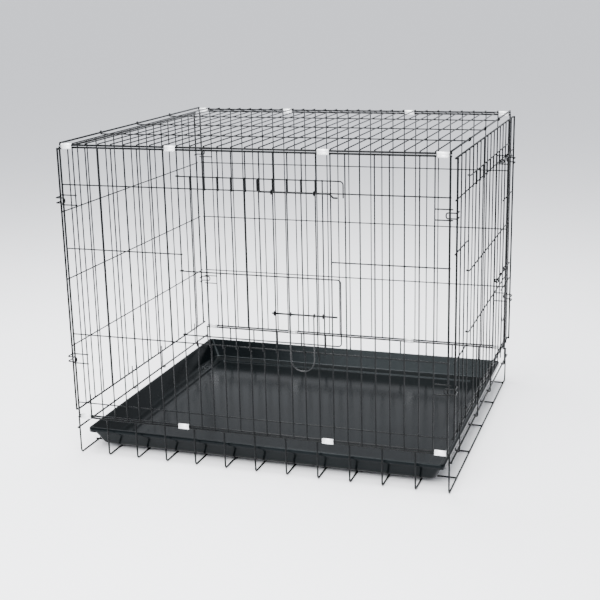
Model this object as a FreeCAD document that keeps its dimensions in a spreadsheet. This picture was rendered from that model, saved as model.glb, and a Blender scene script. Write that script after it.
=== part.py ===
import FreeCAD, Part
import math
import os
import re
import Sketcher

# Folding wire dog crate: a welded base with a loose tray, two long panels and a top joined by
# sheet clips into a racking parallelogram, and two end panels that hook on the base's end lips.
# X runs along the long front panel, Y from front to back, Z up. The origin is on the floor,
# under the middle of the base.

doc = FreeCAD.newDocument("wire_dog_crate")

# ---------------------------------------------------------------- driving dimensions (mm)
DIMENSIONS = dict(
    length=900,             # between the axes of the long panels' end posts
    depth=800,              # between the axes of the front and back lips
    height=752,             # floor to the axes of the top panel's edge wires
    lip_height=93,          # axis of the base's front and back lips
    left_lip_height=65,     # axis of the base's left lip, the lower one
    right_lip_height=75,    # axis of the base's right lip, so the right end folds over the left
    frame_wire=4.5,         # wire diameter of posts, edges and lips
    fine_wire=3,            # wire diameter of uprights and rails
    base_wire=4,            # wire diameter of the base's cross wires
    bolt_wire=4,            # wire diameter of the sliding bolts
    weld=0.1,               # depth that crossing wires sink into each other where welded
    running_gap=0.6,        # clearance between a door and its panel, and in curled hinges
    side_gap=2.25,          # clearance beside an end panel, between the long panels
    end_reach=8,            # from the long panels' posts out to the end lips
    overrun=2.5,            # wire left standing past the last weld
    panel_spaces=28,        # spaces between uprights along the length
    end_spaces=17,          # spaces between uprights across an end
    base_spaces=12,         # spaces between the base's cross wires
    clip_pitch=5.5,         # between the axes of the two wires in a clip
    clip_width=26,
    clip_sheet=1,
    clip_play=0.35,
    base_bend=8,            # bend radius of the base's cross wires
    front_high_drop=91,     # top edge of the front doorway, below the top edge wires
    front_mid_drop=241,
    front_rail_sill=303,    # bottom edge of the front doorway, above the floor
    front_rail_low=131,
    plain_high_drop=156,    # rails of the back and left panels, which have no door
    plain_mid_drop=317,
    plain_rail_low=272,
    left_bottom=110,        # lowest wire of the left end panel
    right_bottom=128,       # lowest wire of the right end panel
    right_high_drop=98,     # top edge of the end doorway, below the top edge wires
    right_mid_drop=212,
    right_rail_low=300,
    keeper_drop=127,        # middle of the upper pair of keepers, below the top edge wires
    keeper_low=242,         # middle of the lower pair, above the floor
    keeper_spread=23,       # between the two wires of a pair
    keeper_poke=3,          # how far a keeper stands out past its post's axis
    loop_height=12,         # of a spring loop that snaps over a post
    loop_reach=7,           # from the post's axis in to the loop's end
    loop_play=1,            # between the post and the loop's outer run
    loop_bend=4.5,
    hook_rise=13.5,         # top of a hook above the end panel's lowest wire
    door_first=9,           # the front door hangs on this upright
    door_last=20,           # and closes over this one
    end_door_first=3,
    end_door_last=14,
    door_overlap=21,        # how far a door frame reaches past its last upright
    door_bend=7.5,          # bend radius of the door wires
    front_door_drop=63,     # top of the front door, below the top edge wires
    front_door_mid_drop=278,
    front_door_bottom=324,
    front_door_tail=25,     # how far the door's uprights hang below its bottom rail
    top_rail_reach=8,       # how far the front door's top rail runs past its frame
    top_rail_turn=36,       # and turns down there
    end_door_drop=66,
    end_door_high_drop=278,
    end_door_low=333,
    end_door_bottom=152,
    ring_play=0.9,          # of a bolt in its guide rings
    bolt_drop=89,           # axis of the upper bolts, below the top edge wires
    bolt_past=2,            # how far an upper bolt runs straight past the latch upright
    bolt_dip=8,             # and then how far its nose dips
    bolt_nose=17.6,         # length of the dipped nose
    bolt_bend=4.8,
    lower_bolt_height=393,
    lower_bolt_spaces=4.2,  # from the latch upright back to a lower bolt's tail
    end_bolt_height=372,
    eye_play=0.35,          # of a handle's eyes round their bolt
    handle_wire=3,
    handle_width=54.6,
    handle_drop=128,
    tray_end_gap=9,         # from the tray out to the posts' axes
    tray_side_gap=13,       # from the tray out to the front and back lips' axes
    tray_rim=61,            # top of the tray's rim
    tray_rim_edge=2,        # height of the rim above the sloping walls' top
    tray_lip=4,             # how far the rim stands out past the walls' top
    tray_skirt=11,          # height of the upright skirt under the rim
    tray_slope=24,          # how far the walls draw in towards the bottom
    tray_bottom=8.4,        # underside of the tray
    tray_wall=3,
    tray_corner=12,         # corner radius of the rim, then of the walls from the top down
    tray_wall_corner=9,
    tray_mouth_corner=6,
    tray_bottom_corner=20,
    tray_floor_corner=14,
    tray_step=4,            # depth of the sunk panel in the tray's floor
    tray_ledge=32,          # width of the ledge around the sunk panel
)

sheet = doc.addObject("Spreadsheet::Sheet", "Dimensions")
for row, (alias, value) in enumerate(DIMENSIONS.items(), start=1):
    sheet.set(f"A{row}", alias)
    sheet.set(f"B{row}", str(value))
    sheet.setAlias(f"B{row}", alias)

# Places worked out from the dimensions. Outward offsets are counted from a panel's edge wires.
PLACES = dict(
    half_length="length / 2",
    half_depth="depth / 2",
    pitch="length / panel_spaces",
    upright_lap="frame_wire / 2 + fine_wire / 2 - weld",
    post_lap="frame_wire - weld",
    rail_lap="upright_lap - fine_wire + weld",
    panel_bottom="lip_height + clip_pitch",
    panel_top="height - clip_pitch",
    base_lap="frame_wire / 2 + base_wire / 2 - weld",
    lip_x="half_length + end_reach",
    end_plane="lip_x + running_gap",
    end_half="half_depth - frame_wire - side_gap",
    end_pitch="2 * end_half / end_spaces",
    end_top="height - frame_wire - 2 * fine_wire",
    base_half="lip_x - base_lap",
    base_pitch="2 * base_half / base_spaces",
    keeper_end="half_length + keeper_poke + fine_wire",
    door_rail_lap="fine_wire + running_gap",
    door_upright_lap="door_rail_lap + fine_wire - weld",
    ring_radius="bolt_wire / 2 + ring_play + fine_wire / 2",
    door_bolt_lap="door_upright_lap + ring_radius + fine_wire - weld",
    front_rail_high="height - front_high_drop",
    front_rail_mid="height - front_mid_drop",
    plain_rail_high="height - plain_high_drop",
    plain_rail_mid="height - plain_mid_drop",
    right_rail_high="height - right_high_drop",
    right_rail_mid="height - right_mid_drop",
    keeper_high="height - keeper_drop",
    front_door_top="height - front_door_drop",
    front_door_mid="height - front_door_mid_drop",
    end_door_top="height - end_door_drop",
    end_door_high="height - end_door_high_drop",
    upper_bolt_height="height - bolt_drop",
    tray_length="length - 2 * tray_end_gap",
    tray_depth="depth - 2 * tray_side_gap",
)

places = doc.addObject("Spreadsheet::Sheet", "Places")


def bound(text):
    """The expression with each named dimension or place pointed at its sheet."""
    def sheet_name(match):
        word = match.group(0)
        if word in DIMENSIONS:
            return "Dimensions." + word
        return "Places." + word if word in PLACES else word
    return re.sub(r"[a-z]+(_[a-z]+)*", sheet_name, text)


for row, (alias, formula) in enumerate(PLACES.items(), start=1):
    places.set(f"A{row}", alias)
    own = re.sub(r"Places\.", "", bound(formula))
    places.set(f"B{row}", "=" + own)
    places.setAlias(f"B{row}", alias)
doc.recompute()


class Sizes:
    """The dimensions and places as numbers, for the bent wires that no sketch describes."""


size = Sizes()
for alias in DIMENSIONS:
    setattr(size, alias, float(sheet.get(alias)))
for alias in PLACES:
    setattr(size, alias, float(places.get(alias)))

subparts = []


def origin_feature(body, role):
    return next(f for f in body.Origin.OriginFeatures if f.Role == role)


def new_body(label):
    body = doc.addObject("PartDesign::Body", label)
    body.Label = label
    body.AllowCompound = True
    subparts.append(body)
    return body


def new_sketch(body, plane, start="0"):
    """A sketch on an origin plane, moved along the plane's axis to start."""
    sketch = body.newObject("Sketcher::SketchObject", "Sketch")
    sketch.AttachmentSupport = [(origin_feature(body, plane), "")]
    sketch.MapMode = "FlatFace"
    sign = "-" if plane == "XZ_Plane" else ""
    sketch.setExpression("AttachmentOffset.Base.z", bound(f"{sign}({start})"))
    return sketch


def add_circle(sketch, across, up, diameter):
    """A circle whose centre and diameter follow the sheets."""
    circle = sketch.addGeometry(Part.Circle(FreeCAD.Vector(1, 1, 0), FreeCAD.Vector(0, 0, 1), 1))
    for kind, formula in (("DistanceX", across), ("DistanceY", up)):
        index = sketch.addConstraint(Sketcher.Constraint(kind, -1, 1, circle, 3, 1.0))
        sketch.setExpression(f"Constraints[{index}]", bound(formula))
    index = sketch.addConstraint(Sketcher.Constraint("Diameter", circle, 2.0))
    sketch.setExpression(f"Constraints[{index}]", bound(diameter))


def add_wires(body, plane, spots, diameter, start, end, along=None, spaces=None, pitch=None):
    """Straight wires square to a plane, from start to end, one at each (across, up) spot. With
    along, they repeat spaces times at pitch in that direction."""
    sketch = new_sketch(body, plane, start)
    for across, up in spots:
        add_circle(sketch, across, up, diameter)
    pad = body.newObject("PartDesign::Pad", "Wires")
    pad.Profile = sketch
    pad.Reversed = plane == "XZ_Plane"
    pad.setExpression("Length", bound(f"({end}) - ({start})"))
    body.Tip = pad
    if along:
        repeat = body.newObject("PartDesign::LinearPattern", "Repeat")
        repeat.Originals = [pad]
        repeat.Direction = (origin_feature(body, along), [""])
        repeat.setExpression("Length", bound(f"({pitch}) * ({spaces})"))
        repeat.setExpression("Occurrences", bound(f"({spaces}) + 1"))
        body.Tip = repeat


def runs(points, bend):
    """Edges along straight runs, each corner rounded to the bend radius."""
    corners = [FreeCAD.Vector(*p) for p in points]
    edges = []
    last = corners[0]
    for before, here, after in zip(corners, corners[1:], corners[2:]):
        to_before = (before - here).normalize()
        to_after = (after - here).normalize()
        half = to_before.getAngle(to_after) / 2
        back = bend / math.tan(half)
        start = here + to_before * back
        end = here + to_after * back
        centre = here + (to_before + to_after).normalize() * (bend / math.sin(half))
        middle = centre + (here - centre).normalize() * bend
        edges.append(Part.LineSegment(last, start).toShape())
        edges.append(Part.Arc(start, middle, end).toShape())
        last = end
    edges.append(Part.LineSegment(last, corners[-1]).toShape())
    return edges


def curl(centre, first, second, radius, start, turn):
    """An arc edge about centre, turning from the first direction towards the second. start and
    turn are in degrees."""
    def at(degrees):
        angle = math.radians(degrees)
        return centre + first * (radius * math.cos(angle)) + second * (radius * math.sin(angle))
    return Part.Arc(at(start), at(start + turn / 2), at(start + turn)).toShape()


def sweep(edges, diameter):
    """The solid that a round section makes along joined, tangent edges."""
    path = Part.Wire(edges)
    first = path.OrderedEdges[0]
    begin = path.OrderedVertexes[0].Point
    at_start = (first.valueAt(first.FirstParameter) - begin).Length < 1e-6
    heading = first.tangentAt(first.FirstParameter if at_start else first.LastParameter)
    section = Part.Wire(Part.makeCircle(diameter / 2, begin, heading))
    return path.makePipeShell([section], True, False)


def bent_wire(points, diameter, bend):
    return sweep(runs(points, bend), diameter)


class Side:
    """A panel's upright plane: distances along it, outwards from its uprights' axes, and up."""

    def __init__(self, origin, along, outward):
        self.origin = FreeCAD.Vector(*origin)
        self.along = FreeCAD.Vector(*along)
        self.outward = FreeCAD.Vector(*outward)
        self.inward = -self.outward
        self.up = FreeCAD.Vector(0, 0, 1)

    def at(self, along, out, up):
        return self.origin + self.along * along + self.outward * out + self.up * up


def keep(label, solids):
    """A node made of one or more solids that code has shaped."""
    feature = doc.addObject("Part::Feature", label)
    feature.Label = label
    feature.Shape = solids[0] if len(solids) == 1 else Part.makeCompound(solids)
    feature.Placement = FreeCAD.Placement()
    subparts.append(feature)
    return feature


# ---------------------------------------------------------------- base: the fixed bottom frame
# Cross wires stand up at both ends to carry the long lips; the tray rests on the long wires.
floor_axis = size.base_wire / 2
leg_top = size.lip_height - size.frame_wire / 2 + size.weld
cross_wires = []
for index in range(int(size.base_spaces) + 1):
    x = -size.base_half + size.base_pitch * index
    cross_wires.append(bent_wire([
        (x, -size.half_depth, leg_top), (x, -size.half_depth, floor_axis),
        (x, size.half_depth, floor_axis), (x, size.half_depth, leg_top)],
        size.base_wire, size.base_bend))
keep("base_cross_wires", cross_wires)

body = new_body("base_long_wires")
LONG_WIRE_SHARES = (-0.4, -0.2, 0.02, 0.24, 0.45)
spots = [(f"depth * ({share})", "1.5 * base_wire - weld") for share in LONG_WIRE_SHARES]
add_wires(body, "YZ_Plane", spots, "base_wire", "-base_half - overrun", "base_half + overrun")

body = new_body("base_long_lips")
spots = [("-half_depth", "lip_height"), ("half_depth", "lip_height")]
add_wires(body, "YZ_Plane", spots, "frame_wire", "-base_half - overrun", "base_half + overrun")

for name, sign in (("left", "-"), ("right", "")):
    body = new_body(f"base_{name}_lip")
    spots = [(f"{sign}lip_x", f"{name}_lip_height")]
    add_wires(body, "XZ_Plane", spots, "frame_wire", "-half_depth - overrun", "half_depth + overrun")


# ---------------------------------------------------------------- tray
def add_rounded_rectangle(sketch, width, depth, corner):
    """A rectangle about the origin with round corners, its sizes bound to formulas."""
    arcs = []
    for quarter, (sx, sy) in enumerate(((1, 1), (-1, 1), (-1, -1), (1, -1))):
        circle = Part.Circle(FreeCAD.Vector(sx * 10, sy * 10, 0), FreeCAD.Vector(0, 0, 1), 1)
        start = quarter * math.pi / 2
        arcs.append(sketch.addGeometry(Part.ArcOfCircle(circle, start, start + math.pi / 2)))
        for kind, sign, span in (("DistanceX", sx, width), ("DistanceY", sy, depth)):
            index = sketch.addConstraint(Sketcher.Constraint(kind, -1, 1, arcs[-1], 3, sign * 10.0))
            centre = bound(f"{sign} * (({span}) / 2 - ({corner}))")
            sketch.setExpression(f"Constraints[{index}]", centre)
        index = sketch.addConstraint(Sketcher.Constraint("Radius", arcs[-1], 1.0))
        sketch.setExpression(f"Constraints[{index}]", bound(corner))
    rough_sides = (((10, 11), (-10, 11)), ((-11, 10), (-11, -10)),
                   ((-10, -11), (10, -11)), ((11, -10), (11, 10)))
    for number, ends in enumerate(rough_sides):
        begin, finish = (FreeCAD.Vector(x, y, 0) for x, y in ends)
        line = sketch.addGeometry(Part.LineSegment(begin, finish))
        sketch.addConstraint(Sketcher.Constraint("Tangent", arcs[number], 2, line, 1))
        sketch.addConstraint(Sketcher.Constraint("Tangent", line, 2, arcs[(number + 1) % 4], 1))


def tray_sketch(start, inset, corner):
    sketch = new_sketch(tray, "XY_Plane", start)
    width = f"tray_length - 2 * ({inset})"
    depth = f"tray_depth - 2 * ({inset})"
    add_rounded_rectangle(sketch, width, depth, corner)
    return sketch


tray = new_body("tray")
skirt_low = "tray_rim - tray_skirt"
floor_top = "tray_bottom + tray_wall"
ledge_top = f"{floor_top} + tray_step"
mouth = "tray_lip + 1.5 * tray_wall"        # from the rim's outer edge in to the hollow
draw = f"tray_slope * (tray_rim - ({ledge_top})) / (tray_rim - tray_bottom)"
walls = tray.newObject("PartDesign::AdditiveLoft", "Walls")
walls.Profile = tray_sketch("tray_bottom", "tray_lip + tray_slope", "tray_bottom_corner")
walls.Sections = [tray_sketch("tray_rim - tray_rim_edge", "tray_lip", "tray_wall_corner")]
walls.Ruled = True
skirt = tray.newObject("PartDesign::Pad", "Skirt")
skirt.Profile = tray_sketch(skirt_low, "0", "tray_corner")
skirt.setExpression("Length", bound("tray_skirt"))
hollow = tray.newObject("PartDesign::SubtractiveLoft", "Hollow")
hollow.Profile = tray_sketch("tray_rim", mouth, "tray_mouth_corner")
hollow.Sections = [tray_sketch(ledge_top, f"{mouth} + {draw}", "tray_floor_corner")]
hollow.Ruled = True
sunk = tray.newObject("PartDesign::Pocket", "SunkPanel")
ledge_inset = "tray_lip + tray_slope + tray_ledge"
sunk.Profile = tray_sketch(ledge_top, ledge_inset, "tray_floor_corner")
sunk.setExpression("Length", bound("tray_step"))
tray.Tip = sunk


# ---------------------------------------------------------------- long panels and top panel
LOW_END = "panel_bottom - overrun"
HIGH_END = "panel_top + overrun"
CLIP_SPACES = (0, 8, 19, 27)                # spaces between uprights that hold a clip


def clip(x, y, lower, upper):
    """A strip of sheet bent round two wires, one above the other: a slot-shaped ring."""
    def slot(radius):
        left = y - radius
        right = y + radius
        return Part.Wire([
            Part.LineSegment(FreeCAD.Vector(x, left, lower), FreeCAD.Vector(x, left, upper)).toShape(),
            Part.Arc(FreeCAD.Vector(x, left, upper), FreeCAD.Vector(x, y, upper + radius),
                     FreeCAD.Vector(x, right, upper)).toShape(),
            Part.LineSegment(FreeCAD.Vector(x, right, upper), FreeCAD.Vector(x, right, lower)).toShape(),
            Part.Arc(FreeCAD.Vector(x, right, lower), FreeCAD.Vector(x, y, lower - radius),
                     FreeCAD.Vector(x, left, lower)).toShape()])
    inside = size.frame_wire / 2 + size.clip_play
    across = FreeCAD.Vector(size.clip_width, 0, 0)
    outer = Part.Face(slot(inside + size.clip_sheet)).extrude(across)
    hole = Part.Face(slot(inside)).extrude(across)
    return outer.cut(hole)


def add_panel_frame(name, sign):
    """Edge wires, posts, keepers and clips of the front or back panel. sign is '-' in front."""
    edge_y = f"{sign}half_depth"
    body = new_body(f"{name}_edge_wires")
    spots = [(edge_y, "panel_bottom"), (edge_y, "panel_top")]
    add_wires(body, "YZ_Plane", spots, "frame_wire", "-half_length - overrun", "half_length + overrun")

    body = new_body(f"{name}_posts")
    post_y = f"{sign}(half_depth + post_lap)"
    spots = [("-half_length", post_y), ("half_length", post_y)]
    add_wires(body, "XY_Plane", spots, "frame_wire", LOW_END, HIGH_END)

    body = new_body(f"{name}_keepers")
    rail_y = f"{sign}(half_depth + rail_lap)"
    spots = [(rail_y, f"{level} {half} keeper_spread / 2")
             for level in ("keeper_low", "keeper_high") for half in "-+"]
    inner_end = "half_length - pitch - fine_wire / 2"
    add_wires(body, "YZ_Plane", spots, "fine_wire", "-keeper_end", f"-({inner_end})")
    add_wires(body, "YZ_Plane", spots, "fine_wire", inner_end, "keeper_end")

    y = size.half_depth * (-1 if sign == "-" else 1)
    clips = []
    for space in CLIP_SPACES:
        x = -size.half_length + size.pitch * (space + 0.5) - size.clip_width / 2
        clips.append(clip(x, y, size.lip_height, size.panel_bottom))
        clips.append(clip(x, y, size.panel_top, size.height))
    keep(f"{name}_clips", clips)


def add_uprights(body, y, first, spaces, low, high):
    """Fine uprights at the panel's pitch, the first one that many spaces from the left post."""
    spot = (f"-half_length + pitch * ({first})", y)
    add_wires(body, "XY_Plane", [spot], "fine_wire", low, high, "X_Axis", spaces, "pitch")


def add_rail(body, y, levels, start, end):
    add_wires(body, "YZ_Plane", [(y, level) for level in levels], "fine_wire", start, end)


RAIL_START = "-half_length - overrun"
RAIL_END = "half_length + overrun"
HINGE_X = "-half_length + pitch * door_first"
LATCH_X = "-half_length + pitch * door_last"

add_panel_frame("front", "-")
FRONT_UPRIGHT_Y = "-(half_depth + upright_lap)"
FRONT_RAIL_Y = "-(half_depth + rail_lap)"
body = new_body("front_uprights")
add_uprights(body, FRONT_UPRIGHT_Y, "1", "door_first - 1", LOW_END, HIGH_END)
LATCH_SPACES = "panel_spaces - door_last - 1"
add_uprights(body, FRONT_UPRIGHT_Y, "door_last", LATCH_SPACES, LOW_END, HIGH_END)
body = new_body("front_doorway_uprights")
DOORWAY_SPACES = "door_last - door_first - 2"
for low, high in ((LOW_END, "front_rail_sill + overrun"), ("front_rail_high - overrun", HIGH_END)):
    add_uprights(body, FRONT_UPRIGHT_Y, "door_first + 1", DOORWAY_SPACES, low, high)
body = new_body("front_rails")
FULL_RAILS = ("front_rail_high", "front_rail_sill", "front_rail_low")
add_rail(body, FRONT_RAIL_Y, FULL_RAILS, RAIL_START, RAIL_END)
add_rail(body, FRONT_RAIL_Y, ("front_rail_mid",), RAIL_START, f"{HINGE_X} + overrun")
add_rail(body, FRONT_RAIL_Y, ("front_rail_mid",), f"{LATCH_X} - overrun", RAIL_END)

add_panel_frame("back", "")
body = new_body("back_uprights")
add_uprights(body, "half_depth + upright_lap", "1", "panel_spaces - 2", LOW_END, HIGH_END)
body = new_body("back_rails")
PLAIN_RAILS = ("plain_rail_high", "plain_rail_mid", "plain_rail_low")
add_rail(body, "half_depth + rail_lap", PLAIN_RAILS, RAIL_START, RAIL_END)

body = new_body("top_edge_wires")
spots = [("-half_depth", "height"), ("half_depth", "height")]
add_wires(body, "YZ_Plane", spots, "frame_wire", RAIL_START, RAIL_END)
body = new_body("top_side_wires")
spots = [("-half_length", "height + post_lap"), ("half_length", "height + post_lap")]
TOP_START = "-half_depth - frame_wire / 2"
TOP_END = "half_depth + frame_wire / 2"
add_wires(body, "XZ_Plane", spots, "frame_wire", TOP_START, TOP_END)
body = new_body("top_cross_wires")
spot = ("-half_length + pitch", "height + upright_lap")
add_wires(body, "XZ_Plane", [spot], "fine_wire", TOP_START, TOP_END, "X_Axis", "panel_spaces - 2", "pitch")

TOP_WIRE_SHARES = (-0.25, 0, 0.25)          # of the depth, from the middle
TOP_CURL = 190                              # degrees that each end turns round a side wire
long_wires = []
right_way = FreeCAD.Vector(1, 0, 0)
upwards = FreeCAD.Vector(0, 0, 1)
for share in TOP_WIRE_SHARES:
    y = size.depth * share
    left = FreeCAD.Vector(-size.half_length, y, size.height + size.post_lap)
    right = FreeCAD.Vector(size.half_length, y, size.height + size.post_lap)
    drop = size.post_lap - size.rail_lap
    line = Part.LineSegment(left - upwards * drop, right - upwards * drop).toShape()
    long_wires.append(sweep([
        curl(left, right_way, upwards, drop, 270 - TOP_CURL, TOP_CURL), line,
        curl(right, right_way, upwards, drop, -90, TOP_CURL)], size.fine_wire))
keep("top_long_wires", long_wires)


# ---------------------------------------------------------------- end panels
END_HALF = "end_half + frame_wire / 2"
HOOK_SPACES = (1.5, 6.5, 10.5, 15.5)        # where the hooks lie, in spaces from the front post
HOOK_TURN = 200                             # degrees that a hook turns under its lip


def add_end_frame(name, sign):
    """Edge wires, posts, hooks and spring loops of an end panel. sign is '-' on the left."""
    bottom = f"{name}_bottom"
    body = new_body(f"{name}_edge_wires")
    spots = [(f"{sign}end_plane", bottom), (f"{sign}end_plane", "end_top")]
    add_wires(body, "XZ_Plane", spots, "frame_wire", f"-({END_HALF})", END_HALF)

    body = new_body(f"{name}_posts")
    post_x = f"{sign}(end_plane + post_lap)"
    spots = [(post_x, "-end_half"), (post_x, "end_half")]
    add_wires(body, "XY_Plane", spots, "frame_wire", f"{bottom} - overrun", "end_top + overrun")

    side = -1 if sign == "-" else 1
    outward = FreeCAD.Vector(side, 0, 0)
    lip = getattr(size, f"{name}_lip_height")
    radius = size.end_plane + size.upright_lap - size.lip_x
    start = getattr(size, bottom) + size.hook_rise
    hooks = []
    for space in HOOK_SPACES:
        centre = FreeCAD.Vector(side * size.lip_x, -size.end_half + size.end_pitch * space, lip)
        top = centre + outward * radius + upwards * (start - lip)
        line = Part.LineSegment(top, centre + outward * radius).toShape()
        turned = curl(centre, outward, upwards, radius, 0, -HOOK_TURN)
        hooks.append(sweep([line, turned], size.fine_wire))
    keep(f"{name}_hooks", hooks)

    # Each loop starts on the end post, passes outside the long panel's post and comes back
    # on its outer face, between two keepers.
    loops = []
    weld_x = size.end_plane + size.post_lap + (size.frame_wire + size.fine_wire) / 2 - size.weld
    tip_x = size.half_length - size.loop_reach
    near_y = size.end_half - size.frame_wire
    far_y = size.half_depth + size.post_lap + size.frame_wire + size.loop_play
    half = size.loop_height / 2
    for face in (-1, 1):
        for level in (size.keeper_low, size.keeper_high):
            path = [(weld_x, near_y, half), (weld_x, far_y, half), (tip_x, far_y, half),
                    (tip_x, far_y, -half), (weld_x, far_y, -half), (weld_x, near_y, -half)]
            points = [(side * x, face * y, level + z) for x, y, z in path]
            loops.append(bent_wire(points, size.fine_wire, size.loop_bend))
    keep(f"{name}_spring_loops", loops)


def add_end_uprights(body, sign, first, spaces, low, high):
    spot = (f"{sign}(end_plane + upright_lap)", f"-end_half + end_pitch * ({first})")
    add_wires(body, "XY_Plane", [spot], "fine_wire", low, high, "Y_Axis", spaces, "end_pitch")


def add_end_rail(body, sign, levels, start, end):
    spots = [(f"{sign}(end_plane + rail_lap)", level) for level in levels]
    add_wires(body, "XZ_Plane", spots, "fine_wire", start, end)


END_HIGH = "end_top + overrun"
add_end_frame("left", "-")
body = new_body("left_uprights")
add_end_uprights(body, "-", "1", "end_spaces - 2", "left_bottom - overrun", END_HIGH)
body = new_body("left_rails")
add_end_rail(body, "-", PLAIN_RAILS, f"-({END_HALF})", END_HALF)

add_end_frame("right", "")
RIGHT_LOW = "right_bottom - overrun"
body = new_body("right_uprights")
add_end_uprights(body, "", "1", "end_door_first - 1", RIGHT_LOW, END_HIGH)
add_end_uprights(body, "", "end_door_last", "end_spaces - end_door_last - 1", RIGHT_LOW, END_HIGH)
body = new_body("right_doorway_uprights")
END_DOORWAY = "end_door_last - end_door_first - 2"
add_end_uprights(body, "", "end_door_first + 1", END_DOORWAY, "right_rail_high - overrun", END_HIGH)
body = new_body("right_rails")
add_end_rail(body, "", ("right_rail_high",), f"-({END_HALF})", END_HALF)
END_HINGE_Y = "-end_half + end_pitch * end_door_first"
END_LATCH_Y = "-end_half + end_pitch * end_door_last"
SIDE_RAILS = ("right_rail_mid", "right_rail_low")
add_end_rail(body, "", SIDE_RAILS, f"-({END_HALF})", f"{END_HINGE_Y} + overrun")
add_end_rail(body, "", SIDE_RAILS, f"{END_LATCH_Y} - overrun", END_HALF)


# ---------------------------------------------------------------- doors, bolts and handles
front = Side((-size.half_length, -size.half_depth - size.upright_lap, 0), (1, 0, 0), (0, -1, 0))
end = Side((size.end_plane + size.upright_lap, -size.end_half, 0), (0, 1, 0), (1, 0, 0))
HINGE_TURN = 270                            # degrees that a door wire turns round its hinge


def hinge_curl(side, hinge, level, start, turn):
    centre = side.at(hinge, 0, level)
    return curl(centre, side.along, side.inward, size.door_rail_lap, start, turn)


def hung_rail(side, hinge, reach, level, tail=()):
    """A door rail curled three quarters round the hinge upright. It runs to reach, and on
    through the (along, up) points of its tail."""
    spots = [(hinge, level), (reach, level), *tail]
    path = [side.at(along, size.door_rail_lap, up) for along, up in spots]
    edges = [hinge_curl(side, hinge, level, 0, HINGE_TURN)] + runs(path, size.door_bend)
    return sweep(edges, size.fine_wire)


def hung_frame(side, hinge, reach, top, bottom):
    """One wire bent into a door's outline, with both ends curled round the hinge upright."""
    spots = [(hinge, top), (reach, top), (reach, bottom), (hinge, bottom)]
    path = [side.at(along, size.door_rail_lap, up) for along, up in spots]
    edges = [hinge_curl(side, hinge, top, 0, HINGE_TURN)] + runs(path, size.door_bend)
    edges.append(hinge_curl(side, hinge, bottom, HINGE_TURN, -HINGE_TURN))
    return sweep(edges, size.fine_wire)


def guide_ring(side, along, level):
    """A wire ring that a bolt slides through, welded to a door upright."""
    centre = side.at(along, size.door_bolt_lap, level)
    return Part.makeTorus(size.ring_radius, size.fine_wire / 2, centre, side.along)


def pull_bolt(side, start, latch):
    """The upper bolt: its tail turns up as a finger tab and its nose dips into an S."""
    level = size.upper_bolt_height
    dipped = level - size.bolt_dip
    nose = latch + size.bolt_past
    spots = [(start, size.front_door_top), (start, level), (nose, level),
             (nose + size.bolt_dip, dipped), (nose + size.bolt_nose, dipped)]
    path = [side.at(along, size.door_bolt_lap, up) for along, up in spots]
    return bent_wire(path, size.bolt_wire, size.bolt_bend)


def drop_handle(side, middle, level):
    """A wire stirrup that hangs from the lower bolt by two curled eyes."""
    radius = (size.bolt_wire + size.handle_wire) / 2 + size.eye_play
    arch = size.handle_width / 2
    out = size.door_bolt_lap + radius
    left = middle - arch
    right = middle + arch
    low = level - size.handle_drop + arch
    left_eye = side.at(left, size.door_bolt_lap, level)
    right_eye = side.at(right, size.door_bolt_lap, level)
    bow = Part.Arc(side.at(left, out, low), side.at(middle, out, low - arch), side.at(right, out, low))
    return sweep([
        curl(left_eye, side.inward, side.up, radius, -90, 270),
        Part.LineSegment(side.at(left, out, level), side.at(left, out, low)).toShape(),
        bow.toShape(),
        Part.LineSegment(side.at(right, out, low), side.at(right, out, level)).toShape(),
        curl(right_eye, side.inward, side.up, radius, 180, -270)], size.handle_wire)


hinge = size.pitch * size.door_first
latch = size.pitch * size.door_last
reach = latch + size.door_overlap
frame = hung_frame(front, hinge, reach, size.front_door_mid, size.front_door_bottom)
keep("front_door_frame", [frame])
corner = reach + size.top_rail_reach
turned_down = [(corner, size.front_door_top - size.top_rail_turn)]
keep("front_door_top_rail", [hung_rail(front, hinge, corner, size.front_door_top, turned_down)])
body = new_body("front_door_uprights")
DOOR_LOW = "front_door_bottom - front_door_tail"
DOOR_HIGH = "front_door_top + overrun"
DOOR_UPRIGHT_Y = "-(half_depth + upright_lap + door_upright_lap)"
add_uprights(body, DOOR_UPRIGHT_Y, "door_first + 1", DOORWAY_SPACES, DOOR_LOW, DOOR_HIGH)
spot = (f"{LATCH_X} - pitch / 2", DOOR_UPRIGHT_Y)
add_wires(body, "XY_Plane", [spot], "fine_wire", DOOR_LOW, DOOR_HIGH)
ring_left = latch - 4 * size.pitch
keep("front_door_guides", [
    guide_ring(front, ring_left, size.upper_bolt_height),
    guide_ring(front, latch - size.pitch, size.upper_bolt_height),
    guide_ring(front, ring_left, size.lower_bolt_height),
    guide_ring(front, latch - size.pitch / 2, size.lower_bolt_height)])
keep("front_upper_bolt", [pull_bolt(front, latch - 5 * size.pitch, latch)])
body = new_body("front_lower_bolt")
spot = ("-(half_depth + upright_lap + door_bolt_lap)", "lower_bolt_height")
add_wires(body, "YZ_Plane", [spot], "bolt_wire", f"{LATCH_X} - lower_bolt_spaces * pitch",
          f"{LATCH_X} + pitch / 2")
keep("front_handle", [drop_handle(front, latch - 2 * size.pitch, size.lower_bolt_height)])

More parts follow.
